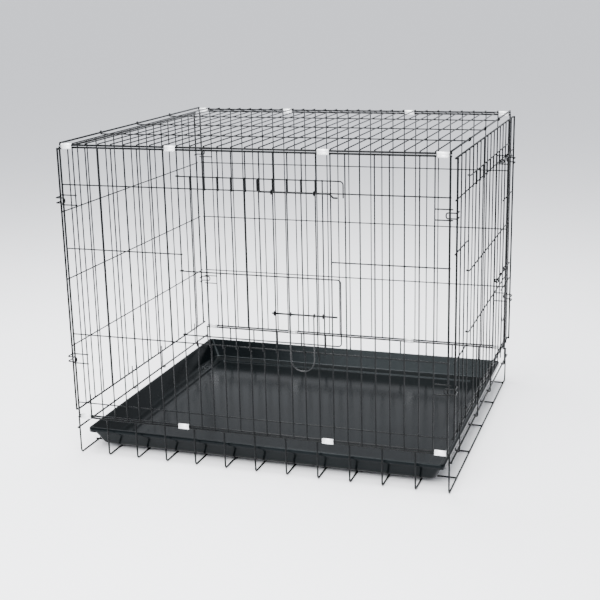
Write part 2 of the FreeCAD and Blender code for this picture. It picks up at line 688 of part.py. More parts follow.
hinge = size.end_pitch * size.end_door_first
latch = size.end_pitch * size.end_door_last
reach = latch + size.door_overlap
keep("end_door_frame", [hung_frame(end, hinge, reach, size.end_door_top, size.end_door_bottom)])
keep("end_door_rails", [hung_rail(end, hinge, reach - size.fine_wire + size.weld, level)
                        for level in (size.end_door_high, size.end_door_low)])
body = new_body("end_door_uprights")
first_y = "-end_half + end_pitch * (end_door_first + 1)"
spot = ("end_plane + upright_lap + door_upright_lap", first_y)
add_wires(body, "XY_Plane", [spot], "fine_wire", "end_door_bottom - front_door_tail",
          "end_door_top + overrun", "Y_Axis", END_DOORWAY, "end_pitch")
keep("end_door_guides", [
    guide_ring(end, latch - 3 * size.end_pitch, size.upper_bolt_height),
    guide_ring(end, latch - size.end_pitch, size.upper_bolt_height),
    guide_ring(end, latch - 4 * size.end_pitch, size.end_bolt_height),
    guide_ring(end, latch - size.end_pitch, size.end_bolt_height)])
keep("end_upper_bolt", [pull_bolt(end, latch - 4 * size.end_pitch, latch)])
body = new_body("end_lower_bolt")
spot = ("end_plane + upright_lap + door_bolt_lap", "end_bolt_height")
add_wires(body, "XZ_Plane", [spot], "bolt_wire", f"{END_LATCH_Y} - lower_bolt_spaces * end_pitch",
          f"{END_LATCH_Y} + door_overlap - fine_wire")
keep("end_handle", [drop_handle(end, latch - 2 * size.end_pitch, size.end_bolt_height)])

# ---------------------------------------------------------------- check and write
doc.recompute()
for feature in doc.Objects:
    if "Invalid" in feature.State or "Error" in feature.State:
        raise RuntimeError(f"{feature.Label} failed: {feature.State}")
os.makedirs("parts", exist_ok=True)
for part in subparts:
    if part.Shape.isNull() or not part.Shape.isValid():
        raise RuntimeError(f"{part.Label} has no valid shape")
    part.Shape.exportStep(f"parts/{part.Label}.step")
    print(f"{part.Label}: {len(part.Shape.Solids)} solids, {part.Shape.Volume:.1f} mm3")
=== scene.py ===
"""A folding wire dog crate with a door in its long side and one in its right end.

X runs along the crate, Y from front to back, Z up, all in metres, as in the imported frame."""
import bmesh
import bpy
import math
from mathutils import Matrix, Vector


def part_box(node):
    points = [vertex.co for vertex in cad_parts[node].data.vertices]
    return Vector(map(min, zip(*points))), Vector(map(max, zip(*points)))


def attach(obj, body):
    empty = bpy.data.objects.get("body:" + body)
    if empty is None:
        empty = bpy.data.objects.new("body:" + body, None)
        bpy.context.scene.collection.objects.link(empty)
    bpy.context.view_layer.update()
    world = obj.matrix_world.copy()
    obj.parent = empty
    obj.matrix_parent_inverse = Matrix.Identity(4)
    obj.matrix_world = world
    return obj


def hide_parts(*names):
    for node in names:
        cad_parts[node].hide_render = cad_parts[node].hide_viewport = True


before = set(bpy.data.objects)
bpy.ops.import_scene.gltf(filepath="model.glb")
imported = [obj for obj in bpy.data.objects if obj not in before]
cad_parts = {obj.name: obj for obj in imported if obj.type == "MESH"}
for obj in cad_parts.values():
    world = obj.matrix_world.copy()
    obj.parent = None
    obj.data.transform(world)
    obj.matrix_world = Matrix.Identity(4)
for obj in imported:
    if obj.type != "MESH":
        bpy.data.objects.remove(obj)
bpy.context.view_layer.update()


# ------------------------------------------------------------------ base: cross wires
# Thirteen drawn-steel wires bent up at both ends into feet and legs. They carry the front and
# back lips, and the whole base is dipped in black coating after it is welded.
BASE_WIRE = 0.004
BASE_BEND = 2 * BASE_WIRE
CUT_END = ((0.0, 0.62), (0.1, 0.84), (0.3, 1.0))    # diameters back from a sheared end, share of thickness
SAME_POINT = 1e-7               # how near two corners of a CAD mesh are when they are one
SMOOTH_SIDES = 16               # sides of the section where a wire is thicker or seen closer


def shells(node):
    """The lowest and highest corners of each separate solid of a CAD node, sorted by place."""
    work = bmesh.new()
    work.from_mesh(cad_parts[node].data)
    bmesh.ops.remove_doubles(work, verts=work.verts, dist=SAME_POINT)
    found = []
    for start in work.verts:
        if start.tag:
            continue
        start.tag = True
        stack = [start]
        places = []
        while stack:
            here = stack.pop()
            places.append(here.co)
            for edge in here.link_edges:
                there = edge.other_vert(here)
                if not there.tag:
                    there.tag = True
                    stack.append(there)
        low = Vector([min(p[axis] for p in places) for axis in range(3)])
        high = Vector([max(p[axis] for p in places) for axis in range(3)])
        found.append((low, high))
    work.free()
    return sorted(found, key=lambda box: tuple(round(value, 6) for value in box[0] + box[1]))


def bent_wire_tree():
    """Geometry nodes that turn lines into round wire: corners are bent to the radius stored at
    each point, and the section follows the thickness stored there."""
    tree = bpy.data.node_groups.new("Bent wire", "GeometryNodeTree")
    tree.interface.new_socket("Lines", in_out="INPUT", socket_type="NodeSocketGeometry")
    tree.interface.new_socket("Diameter", in_out="INPUT", socket_type="NodeSocketFloat")
    tree.interface.new_socket("Sides", in_out="INPUT", socket_type="NodeSocketInt")
    tree.interface.new_socket("Bend steps", in_out="INPUT", socket_type="NodeSocketInt")
    tree.interface.new_socket("Coating", in_out="INPUT", socket_type="NodeSocketMaterial")
    tree.interface.new_socket("Wire", in_out="OUTPUT", socket_type="NodeSocketGeometry")
    node = tree.nodes.new
    link = tree.links.new
    given = node("NodeGroupInput")
    curve = node("GeometryNodeMeshToCurve")
    link(given.outputs["Lines"], curve.inputs["Mesh"])
    bend = node("GeometryNodeInputNamedAttribute")
    bend.inputs["Name"].default_value = "bend"
    fillet = node("GeometryNodeFilletCurve")
    fillet.mode = "POLY"
    fillet.inputs["Limit Radius"].default_value = True
    link(curve.outputs["Curve"], fillet.inputs["Curve"])
    link(given.outputs["Bend steps"], fillet.inputs["Count"])
    link(bend.outputs["Attribute"], fillet.inputs["Radius"])
    halve = node("ShaderNodeMath")
    halve.operation = "MULTIPLY"
    halve.inputs[1].default_value = 0.5
    link(given.outputs["Diameter"], halve.inputs[0])
    section = node("GeometryNodeCurvePrimitiveCircle")
    link(given.outputs["Sides"], section.inputs["Resolution"])
    link(halve.outputs["Value"], section.inputs["Radius"])
    thickness = node("GeometryNodeInputNamedAttribute")
    thickness.inputs["Name"].default_value = "thickness"
    sweep = node("GeometryNodeCurveToMesh")
    sweep.inputs["Fill Caps"].default_value = True
    link(fillet.outputs["Curve"], sweep.inputs["Curve"])
    link(section.outputs["Curve"], sweep.inputs["Profile Curve"])
    link(thickness.outputs["Attribute"], sweep.inputs["Scale"])
    smooth = node("GeometryNodeSetShadeSmooth")
    link(sweep.outputs["Mesh"], smooth.inputs["Geometry"])
    real = node("GeometryNodeRealizeInstances")
    link(smooth.outputs["Geometry"], real.inputs["Geometry"])
    paint = node("GeometryNodeSetMaterial")
    link(real.outputs["Geometry"], paint.inputs["Geometry"])
    link(given.outputs["Coating"], paint.inputs["Material"])
    result = node("NodeGroupOutput")
    link(paint.outputs["Geometry"], result.inputs["Wire"])
    return tree


def made_by(tree, mesh, name, settings):
    """A plain mesh object: what the tree makes of a mesh, with its named inputs set."""
    piece = bpy.data.objects.new(name, mesh)
    bpy.context.collection.objects.link(piece)
    modifier = piece.modifiers.new(tree.name, "NODES")
    modifier.node_group = tree
    for label, value in settings.items():
        modifier[tree.interface.items_tree[label].identifier] = value
    scene_now = bpy.context.evaluated_depsgraph_get()
    plain = bpy.data.meshes.new_from_object(piece.evaluated_get(scene_now))
    piece.modifiers.clear()
    piece.data = plain
    plain.name = name
    return piece


COAT_DARK = (0.0016, 0.002, 0.0023)
COAT_PALE = (0.0036, 0.0042, 0.0048)
COAT_RUBBED = (0.026, 0.028, 0.03)
RUB_STRENGTH = 0.55             # share of the rubbed colour where the coating is most rubbed
GLOSS_SPREAD = 0.17             # how much rougher the dullest patches are than the shiniest
PEEL_DEPTH = 0.00012
COAT_IOR = 1.52


def coated_wire_finish(name, rub, shine, glint=0.1):
    """Black dipped coating: faint orange peel, uneven gloss, and dull grey where it is rubbed."""
    material = bpy.data.materials.new(name)
    material.use_nodes = True
    nodes = material.node_tree.nodes
    link = material.node_tree.links.new
    shader = nodes["Principled BSDF"]
    place = nodes.new("ShaderNodeTexCoord")

    def noise(scale, detail):
        texture = nodes.new("ShaderNodeTexNoise")
        texture.inputs["Scale"].default_value = scale
        texture.inputs["Detail"].default_value = detail
        link(place.outputs["Object"], texture.inputs["Vector"])
        return texture.outputs["Fac"]

    def ramp(fac, stops):
        colours = nodes.new("ShaderNodeValToRGB")
        colours.color_ramp.elements[0].position = stops[0][0]
        colours.color_ramp.elements[0].color = (*stops[0][1], 1)
        colours.color_ramp.elements[1].position = stops[1][0]
        colours.color_ramp.elements[1].color = (*stops[1][1], 1)
        link(fac, colours.inputs["Fac"])
        return colours.outputs["Color"]

    coat = ramp(noise(38, 5), ((0.32, COAT_DARK), (0.7, COAT_PALE)))
    rubbed = ramp(noise(85, 6), ((0.66 - rub, (0, 0, 0)), (0.8 - rub, (1, 1, 1))))
    weigh = nodes.new("ShaderNodeMath")
    weigh.operation = "MULTIPLY"
    weigh.inputs[1].default_value = RUB_STRENGTH
    link(rubbed, weigh.inputs[0])
    mix = nodes.new("ShaderNodeMix")
    mix.data_type = "RGBA"
    mix.inputs["B"].default_value = (*COAT_RUBBED, 1)
    link(weigh.outputs["Value"], mix.inputs["Factor"])
    link(coat, mix.inputs["A"])
    link(mix.outputs["Result"], shader.inputs["Base Color"])
    gloss = nodes.new("ShaderNodeMapRange")
    gloss.inputs["From Min"].default_value = 0.3
    gloss.inputs["From Max"].default_value = 0.75
    gloss.inputs["To Min"].default_value = shine
    gloss.inputs["To Max"].default_value = shine + GLOSS_SPREAD
    link(noise(160, 4), gloss.inputs["Value"])
    link(gloss.outputs["Result"], shader.inputs["Roughness"])
    peel = nodes.new("ShaderNodeBump")
    peel.inputs["Strength"].default_value = 0.35
    peel.inputs["Distance"].default_value = PEEL_DEPTH
    link(noise(950, 2), peel.inputs["Height"])
    link(peel.outputs["Normal"], shader.inputs["Normal"])
    shader.inputs["IOR"].default_value = COAT_IOR
    shader.inputs["Specular IOR Level"].default_value = glint
    return material


BENT_WIRE = bent_wire_tree()
COATED = coated_wire_finish("black coated wire", rub=0.0, shine=0.24)
WELDED = {}                     # straight stretches of wire, by body
SHORTEST_STRETCH = 1.5          # in wire diameters
SQUARE_WITHIN = 1e-5            # how far a stretch may stray from its axis


def note_stretches(body, route, diameter):
    """Keeps the straight, square stretches of a wire, so that its welds can be found."""
    for (start, _), (end, _) in zip(route, route[1:]):
        along = end - start
        axis = max(range(3), key=lambda k: abs(along[k]))
        across = along.copy()
        across[axis] = 0
        if abs(along[axis]) > SHORTEST_STRETCH * diameter and across.length < SQUARE_WITHIN:
            low, high = sorted((start[axis], end[axis]))
            stretch = dict(axis=axis, place=(start + end) / 2, low=low, high=high, radius=diameter / 2)
            WELDED.setdefault(body, []).append(stretch)


def wires(node, body, routes, diameter, coating=COATED, sides=12, bend_steps=6, closed=False):
    """One piece of round wire for a CAD node. A route is a list of (place, bend radius)."""
    mesh = bpy.data.meshes.new(node)
    places, bends, thicknesses, edges = [], [], [], []
    for route in routes:
        first = len(places)
        if not closed:
            note_stretches(body, route, diameter)
            ends = []
            for (tip, _), (after, _) in ((route[0], route[1]), (route[-1], route[-2])):
                inwards = (after - tip).normalized() * diameter
                ends.append([(tip + inwards * back, 0.0, thick) for back, thick in CUT_END])
            middle = [(place, bend, 1.0) for place, bend in route[1:-1]]
            points = ends[0] + middle + ends[1][::-1]
        else:
            points = [(place, bend, 1.0) for place, bend in route]
        for place, bend, thick in points:
            places.append(place)
            bends.append(bend)
            thicknesses.append(thick)
        edges += [(index, index + 1) for index in range(first, len(places) - 1)]
        if closed:
            edges.append((len(places) - 1, first))
    mesh.from_pydata(places, edges, [])
    for label, values in (("bend", bends), ("thickness", thicknesses)):
        mesh.attributes.new(label, "FLOAT", "POINT").data.foreach_set("value", values)
    piece = made_by(BENT_WIRE, mesh, f"{node}_wire", {
        "Diameter": diameter, "Sides": sides, "Bend steps": bend_steps, "Coating": coating})
    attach(piece, body)
    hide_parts(node)
    return piece


routes = []
for low, high in shells("base_cross_wires"):
    inset = Vector((BASE_WIRE / 2, BASE_WIRE / 2, BASE_WIRE / 2))
    low = low + inset
    high = high - inset
    top = high.z + BASE_WIRE / 2
    routes.append([(Vector((low.x, low.y, top)), 0.0), (Vector((low.x, low.y, low.z)), BASE_BEND),
                   (Vector((low.x, high.y, low.z)), BASE_BEND), (Vector((low.x, high.y, top)), 0.0)])
wires("base_cross_wires", "base", routes, BASE_WIRE, bend_steps=8)


# ------------------------------------------------------------------ base: long wires and lips
# Straight wires laid across the cross wires carry the tray. The thicker lips round the top of
# the base take the panels' clips and the end panels' hooks.
FRAME_WIRE = 0.0045
FINE_WIRE = 0.003


def straight(node):
    """A route down the middle of each straight wire of a CAD node."""
    found = []
    for low, high in shells(node):
        axis = max(range(3), key=lambda k: high[k] - low[k])
        start = (low + high) / 2
        end = start.copy()
        start[axis] = low[axis]
        end[axis] = high[axis]
        found.append([(start, 0.0), (end, 0.0)])
    return found


wires("base_long_wires", "base", straight("base_long_wires"), BASE_WIRE)
for node in ("base_long_lips", "base_left_lip", "base_right_lip"):
    wires(node, "base", straight(node), FRAME_WIRE, sides=SMOOTH_SIDES)


# ------------------------------------------------------------------ tray
# A moulded black plastic pan that lifts out: a rolled rim with a hanging skirt, walls that draw
# in to a flat ledge, and a shallow sunk floor. The wall is the same thickness all over.
TRAY_WALL = 0.003
TRAY_SKIRT = 0.011
TRAY_CORNER = 0.012             # the rim; the walls tighten to the mouth, then open out downwards
RIM_WIDTH = 0.0085
LEDGE_HEIGHT = 0.007            # of the ledge above the tray's underside
LEDGE_START = 0.0293            # inset of the ledge from the rim's outer edge
LEDGE_END = 0.060
SUNK = 0.004
FLOOR_FLAT = 0.012              # from the ledge's inner edge to where the sunk floor is flat
RIM_ROUND = 0.0035
RIM_UNDER_ROUND = 0.0006
LEDGE_ROUND = 0.009             # inside, where the wall meets the ledge
LEDGE_UNDER_ROUND = 0.012       # the same bend on the underside
STEP_ROUND = 0.002              # edges of the sunk floor
WALL_TOP_SHIFT = 0.0012         # these two move the underside's corners, which keeps the
WALL_FOOT_SHIFT = 0.0022        # sloping wall near its thickness
CORNER_START = 0.003            # seen from above, a wall's corner radius is this much
CORNER_GROWTH = 0.375           # and this share of its inset
TRAY_DARK = (0.0012, 0.0018, 0.0021)
TRAY_PALE = (0.0024, 0.0034, 0.0039)
TRAY_SCUFFED = (0.007, 0.0088, 0.0097)
TRAY_TINT = (0.84, 0.95, 1.0)   # of its reflections
TRAY_GLINT = 0.074
GRAIN_DEPTH = 0.00015


def rounded(corners, steps=5):
    """A flat outline with its corners rounded. A corner is (across, up, radius)."""
    points = []
    for index, (x, y, radius) in enumerate(corners):
        here = Vector((x, y))
        if radius == 0 or index in (0, len(corners) - 1):
            points.append(here)
            continue
        before = (Vector(corners[index - 1][:2]) - here).normalized()
        after = (Vector(corners[index + 1][:2]) - here).normalized()
        half = before.angle(after) / 2
        centre = here + (before + after).normalized() * (radius / math.sin(half))
        start = here + before * (radius / math.tan(half)) - centre
        end = here + after * (radius / math.tan(half)) - centre
        turn = start.angle_signed(end)
        for step in range(steps + 1):
            angle = -turn * step / steps
            cosine, sine = math.cos(angle), math.sin(angle)
            points.append(centre + Vector((start.x * cosine - start.y * sine,
                                           start.x * sine + start.y * cosine)))
    return points


def rounded_rectangle(half_x, half_y, corner, height, steps=12):
    """Points round a rectangle with round corners, anticlockwise from above."""
    ring = []
    for quarter, (sx, sy) in enumerate(((1, 1), (-1, 1), (-1, -1), (1, -1))):
        for step in range(steps + 1):
            angle = math.pi / 2 * (quarter + step / steps)
            ring.append((sx * (half_x - corner) + corner * math.cos(angle),
                         sy * (half_y - corner) + corner * math.sin(angle), height))
    return ring


def moulded_tray_finish():
    """Semi-gloss black plastic with a fine moulded grain, drawn scuffs and a little dust."""
    material = bpy.data.materials.new("moulded black tray")
    material.use_nodes = True
    nodes = material.node_tree.nodes
    link = material.node_tree.links.new
    shader = nodes["Principled BSDF"]
    place = nodes.new("ShaderNodeTexCoord")
    mottle = nodes.new("ShaderNodeTexNoise")
    mottle.inputs["Scale"].default_value = 7
    mottle.inputs["Detail"].default_value = 6
    link(place.outputs["Object"], mottle.inputs["Vector"])
    tint = nodes.new("ShaderNodeValToRGB")
    tint.color_ramp.elements[0].position = 0.35
    tint.color_ramp.elements[0].color = (*TRAY_DARK, 1)
    tint.color_ramp.elements[1].position = 0.72
    tint.color_ramp.elements[1].color = (*TRAY_PALE, 1)
    link(mottle.outputs["Fac"], tint.inputs["Fac"])
    stretch = nodes.new("ShaderNodeMapping")
    stretch.inputs["Scale"].default_value = (9, 140, 9)
    stretch.inputs["Rotation"].default_value = (0, 0, 0.5)
    link(place.outputs["Object"], stretch.inputs["Vector"])
    scuffs = nodes.new("ShaderNodeTexNoise")
    scuffs.inputs["Scale"].default_value = 3
    scuffs.inputs["Detail"].default_value = 8
    link(stretch.outputs["Vector"], scuffs.inputs["Vector"])
    marked = nodes.new("ShaderNodeMapRange")
    marked.inputs["From Min"].default_value = 0.6
    marked.inputs["From Max"].default_value = 0.8
    marked.inputs["To Max"].default_value = 0.3
    link(scuffs.outputs["Fac"], marked.inputs["Value"])
    mix = nodes.new("ShaderNodeMix")
    mix.data_type = "RGBA"
    mix.inputs["B"].default_value = (*TRAY_SCUFFED, 1)
    link(marked.outputs["Result"], mix.inputs["Factor"])
    link(tint.outputs["Color"], mix.inputs["A"])
    link(mix.outputs["Result"], shader.inputs["Base Color"])
    gloss = nodes.new("ShaderNodeMapRange")
    gloss.inputs["To Min"].default_value = 0.08
    gloss.inputs["To Max"].default_value = 0.15
    link(mottle.outputs["Fac"], gloss.inputs["Value"])
    link(gloss.outputs["Result"], shader.inputs["Roughness"])
    grain = nodes.new("ShaderNodeTexVoronoi")
    grain.inputs["Scale"].default_value = 620
    link(place.outputs["Object"], grain.inputs["Vector"])
    press = nodes.new("ShaderNodeBump")
    press.inputs["Strength"].default_value = 0.3
    press.inputs["Distance"].default_value = GRAIN_DEPTH
    link(grain.outputs["Distance"], press.inputs["Height"])
    link(press.outputs["Normal"], shader.inputs["Normal"])
    shader.inputs["IOR"].default_value = 1.5
    shader.inputs["Specular IOR Level"].default_value = TRAY_GLINT
    shader.inputs["Specular Tint"].default_value = (*TRAY_TINT, 1)
    return material


low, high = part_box("tray")
tray_middle = (low + high) / 2
half_x = (high.x - low.x) / 2
half_y = (high.y - low.y) / 2
skirt_low = high.z - TRAY_SKIRT
ledge = low.z + LEDGE_HEIGHT
upper = [
    (0.0, skirt_low, 0), (0.0, high.z, RIM_ROUND), (RIM_WIDTH, high.z, RIM_ROUND),
    (LEDGE_START, ledge, LEDGE_ROUND), (LEDGE_END, ledge, STEP_ROUND),
    (LEDGE_END + SUNK / 2, ledge - SUNK, STEP_ROUND), (LEDGE_END + FLOOR_FLAT, ledge - SUNK, 0)]
lower = [
    (LEDGE_END + FLOOR_FLAT, low.z, 0), (LEDGE_END + SUNK / 2 - TRAY_WALL, low.z, STEP_ROUND),
    (LEDGE_END - TRAY_WALL, ledge - TRAY_WALL, STEP_ROUND),
    (LEDGE_START - WALL_FOOT_SHIFT, ledge - TRAY_WALL, LEDGE_UNDER_ROUND),
    (RIM_WIDTH - TRAY_WALL + WALL_TOP_SHIFT, high.z - TRAY_WALL, RIM_UNDER_ROUND),
    (TRAY_WALL, high.z - TRAY_WALL, RIM_UNDER_ROUND), (TRAY_WALL, skirt_low, 0)]
work = bmesh.new()
rings = []
for inset, height in rounded(upper) + rounded(lower):
    corner = max(TRAY_CORNER - inset, CORNER_START + CORNER_GROWTH * min(inset, LEDGE_START))
    ring = rounded_rectangle(half_x - inset, half_y - inset, corner, height)
    rings.append([work.verts.new((x + tray_middle.x, y + tray_middle.y, z)) for x, y, z in ring])
for inner, outer in zip(rings[1:] + rings[:1], rings):
    if inner is rings[len(rounded(upper))]:
        continue                                    # the floor and its underside stay apart
    for index in range(len(outer)):
        after = (index + 1) % len(outer)
        work.faces.new((outer[index], outer[after], inner[after], inner[index]))
work.faces.new(rings[len(rounded(upper)) - 1])
work.faces.new(rings[len(rounded(upper))][::-1])
bmesh.ops.recalc_face_normals(work, faces=work.faces)
for face in work.faces:
    face.smooth = True
mesh = bpy.data.meshes.new("tray_pan")
work.to_mesh(mesh)
work.free()
mesh.materials.append(moulded_tray_finish())
pan = bpy.data.objects.new("tray_pan", mesh)
bpy.context.collection.objects.link(pan)
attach(pan, "tray")
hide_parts("tray")


# ------------------------------------------------------------------ long panels and top
# Welded mats of straight wire. Fine uprights stand outside the thicker edge wires and posts,
# rails run between them, and short keepers beside each post catch the ends' spring loops.
for side in ("front", "back"):
    panel = f"{side}_panel"
    for part in ("edge_wires", "posts"):
        wires(f"{side}_{part}", panel, straight(f"{side}_{part}"), FRAME_WIRE, sides=SMOOTH_SIDES)
    for part in ("keepers", "uprights", "rails"):
        wires(f"{side}_{part}", panel, straight(f"{side}_{part}"), FINE_WIRE)
wires("front_doorway_uprights", "front_panel", straight("front_doorway_uprights"), FINE_WIRE)
for part in ("edge_wires", "side_wires"):
    wires(f"top_{part}", "top_panel", straight(f"top_{part}"), FRAME_WIRE, sides=SMOOTH_SIDES)
wires("top_cross_wires", "top_panel", straight("top_cross_wires"), FINE_WIRE)


# ------------------------------------------------------------------ top: long wires
# Three wires run the length of the top under its cross wires. Their ends are curled up
# round the side wires.
CURL_TURN = 190                 # degrees that each end turns round its side wire


def arc(centre, first, second, radius, start, turn, steps=14):
    """Route points on an arc about centre, from the first direction towards the second."""
    points = []
    for step in range(steps + 1):
        angle = math.radians(start + turn * step / steps)
        points.append((centre + first * (radius * math.cos(angle))
                       + second * (radius * math.sin(angle)), 0.0))
    return points


right_way = Vector((1, 0, 0))
backwards = Vector((0, 1, 0))
upwards = Vector((0, 0, 1))
side_wires = [(low + high) / 2 for low, high in shells("top_side_wires")]
routes = []
for low, high in shells("top_long_wires"):
    y = (low.y + high.y) / 2
    ends = [Vector((place.x, y, place.z)) for place in side_wires]
    radius = ends[0].z - (low.z + FINE_WIRE / 2)
    routes.append(arc(ends[0], right_way, upwards, radius, 270 - CURL_TURN, CURL_TURN)
                  + arc(ends[1], right_way, upwards, radius, -90, CURL_TURN))
wires("top_long_wires", "top_panel", routes, FINE_WIRE)


# ------------------------------------------------------------------ end panels
# Each end is a welded mat with four long hooks that turn under the base's lip and four spring
# loops that snap over the long panels' posts.
HOOK_TURN = -200                # degrees that a hook turns round its lip
LOOP_BEND = 1.5 * FINE_WIRE

for side, sign in (("left", -1), ("right", 1)):
    panel = f"{side}_end"
    for part in ("edge_wires", "posts"):
        wires(f"{side}_{part}", panel, straight(f"{side}_{part}"), FRAME_WIRE, sides=SMOOTH_SIDES)
    for part in ("uprights", "rails"):
        wires(f"{side}_{part}", panel, straight(f"{side}_{part}"), FINE_WIRE)
    outward = Vector((sign, 0, 0))
    lip_low, lip_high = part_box(f"base_{side}_lip")
    lip = (lip_low + lip_high) / 2
    routes = []
    for low, high in shells(f"{side}_hooks"):
        centre = Vector((lip.x, (low.y + high.y) / 2, lip.z))
        radius = max(low.x * sign, high.x * sign) - FINE_WIRE / 2 - lip.x * sign
        top = centre + outward * radius
        top.z = high.z
        routes.append([(top, 0.0)] + arc(centre, outward, upwards, radius, 0, HOOK_TURN))
    wires(f"{side}_hooks", panel, routes, FINE_WIRE)
    routes = []
    inset = Vector((1, 1, 1)) * (FINE_WIRE / 2)
    for low, high in shells(f"{side}_spring_loops"):
        face = 1 if low.y > 0 else -1
        weld_y = low.y if face > 0 else high.y
        far_y = high.y - FINE_WIRE / 2 if face > 0 else low.y + FINE_WIRE / 2
        low = low + inset
        high = high - inset
        weld_x, tip_x = (high.x, low.x) if sign > 0 else (low.x, high.x)
        path = [(weld_x, weld_y, high.z), (weld_x, far_y, high.z), (tip_x, far_y, high.z),
                (tip_x, far_y, low.z), (weld_x, far_y, low.z), (weld_x, weld_y, low.z)]
        routes.append([(Vector(place), LOOP_BEND) for place in path])
    wires(f"{side}_spring_loops", panel, routes, FINE_WIRE)
wires("right_doorway_uprights", "right_end", straight("right_doorway_uprights"), FINE_WIRE)


# ------------------------------------------------------------------ doors
# A door's outline is one bent wire whose ends curl round the hinge upright. Its uprights are
# welded outside it, with small rings that the two bolts slide through.
HINGE_RADIUS = 0.0036
DOOR_BEND = 2.5 * FINE_WIRE
HINGE_TURN = 270


def door_side(node, end):
    """Directions along and out of a door, and where its rails and hinge lie, from its frame."""
    low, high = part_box(node)
    along, out = (backwards, right_way) if end else (right_way, -backwards)
    rail_out = (high.x if end else -low.y) - FINE_WIRE / 2
    hinge = (low.y if end else low.x) + HINGE_RADIUS + FINE_WIRE / 2
    reach = (high.y if end else high.x) - FINE_WIRE / 2

    def at(distance, outwards, height):
        return along * distance + out * outwards + upwards * height
    return along, out, at, rail_out, hinge, reach


def hinge_curl(along, out, at, rail_out, hinge, height, start, turn):
    """Route points where a wire of a door turns round the hinge upright."""
    centre = at(hinge, rail_out - HINGE_RADIUS, height)
    return arc(centre, along, -out, HINGE_RADIUS, start, turn)


def ring_routes(node, along):
    """A closed round route for each guide ring of a CAD node."""
    routes = []
    across = upwards.cross(along)
    for low, high in shells(node):
        radius = (high.z - low.z - FINE_WIRE) / 2
        routes.append(arc((low + high) / 2, across, upwards, radius, 0, 360, steps=24)[:-1])
    return routes


BOLT_RUBBED = coated_wire_finish("black coated bolt, rubbed by its rings", rub=0.1, shine=0.2)
HANDLE_WORN = coated_wire_finish("black coated handle, polished by hands",
                                 rub=0.14, shine=0.16, glint=0.3)
for door, panel_end in (("front", False), ("end", True)):
    body = f"{door}_door"
    along, out, at, rail_out, hinge, reach = door_side(f"{body}_frame", panel_end)
    low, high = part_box(f"{body}_frame")
    top = high.z - FINE_WIRE / 2
    bottom = low.z + FINE_WIRE / 2
    route = hinge_curl(along, out, at, rail_out, hinge, top, HINGE_TURN, -HINGE_TURN)[::-1]
    route += [(at(reach, rail_out, top), DOOR_BEND), (at(reach, rail_out, bottom), DOOR_BEND)]
    route += hinge_curl(along, out, at, rail_out, hinge, bottom, HINGE_TURN, -HINGE_TURN)
    wires(f"{body}_frame", body, [route], FINE_WIRE)
    wires(f"{body}_uprights", body, straight(f"{body}_uprights"), FINE_WIRE)
    wires(f"{body}_guides", body, ring_routes(f"{body}_guides", along), FINE_WIRE, closed=True)
    rails = f"{body}_rails" if panel_end else f"{body}_top_rail"
    routes = []
    for low, high in shells(rails):
        if panel_end:
            height = (low.z + high.z) / 2
            tail = [(at(high.y, rail_out, height), 0.0)]
        else:
            height = high.z - FINE_WIRE / 2
            corner = high.x - FINE_WIRE / 2
            tail = [(at(corner, rail_out, height), DOOR_BEND), (at(corner, rail_out, low.z), 0.0)]
        routes.append(hinge_curl(along, out, at, rail_out, hinge, height, 0, HINGE_TURN) + tail)
    wires(rails, body, routes, FINE_WIRE)


# ------------------------------------------------------------------ bolts and handles
# Each door has an upper bolt with a turned-up finger tab and a nose that dips, and a plain
# lower bolt that carries a drop handle on two curled eyes. Use has rubbed all of them.
BOLT_WIRE = 0.004
BOLT_DIP = 2 * BOLT_WIRE
NOSE_SHARE = 2.2                # how many dips long the nose is
BOLT_BEND = 1.2 * BOLT_WIRE
EYE_RADIUS = 0.00385

for door, panel_end in (("front", False), ("end", True)):
    along, out, at = door_side(f"{door}_door_frame", panel_end)[:3]
    low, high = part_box(f"{door}_upper_bolt")
    bolt_out = (high.x if panel_end else -low.y) - BOLT_WIRE / 2
    start, end = (low.y, high.y) if panel_end else (low.x, high.x)
    start += BOLT_WIRE / 2
    nose = end - NOSE_SHARE * BOLT_DIP
    dipped = low.z + BOLT_WIRE / 2
    level = dipped + BOLT_DIP
    path = [(start, high.z), (start, level), (nose, level), (nose + BOLT_DIP, dipped), (end, dipped)]
    route = [(at(distance, bolt_out, height), BOLT_BEND) for distance, height in path]
    wires(f"{door}_upper_bolt", f"{door}_upper_bolt", [route], BOLT_WIRE, BOLT_RUBBED, sides=SMOOTH_SIDES)
    lower = f"{door}_lower_bolt"
    wires(lower, lower, straight(lower), BOLT_WIRE, BOLT_RUBBED, sides=SMOOTH_SIDES)

    low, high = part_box(lower)
    level = (low.z + high.z) / 2
    low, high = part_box(f"{door}_handle")
    leg_out = (high.x if panel_end else -low.y) - FINE_WIRE / 2
    left, right = (low.y, high.y) if panel_end else (low.x, high.x)
    left += FINE_WIRE / 2
    right -= FINE_WIRE / 2
    arch = (right - left) / 2
    spring = low.z + FINE_WIRE / 2 + arch
    eye_out = leg_out - EYE_RADIUS
    route = arc(at(left, eye_out, level), -out, upwards, EYE_RADIUS, -90, 270)
    route += arc(at(left + arch, leg_out, spring), along, upwards, arch, -180, 180, steps=24)
    route += arc(at(right, eye_out, level), -out, upwards, EYE_RADIUS, 180, -270)
    wires(f"{door}_handle", f"{door}_handle", [route], FINE_WIRE, HANDLE_WORN, sides=14)


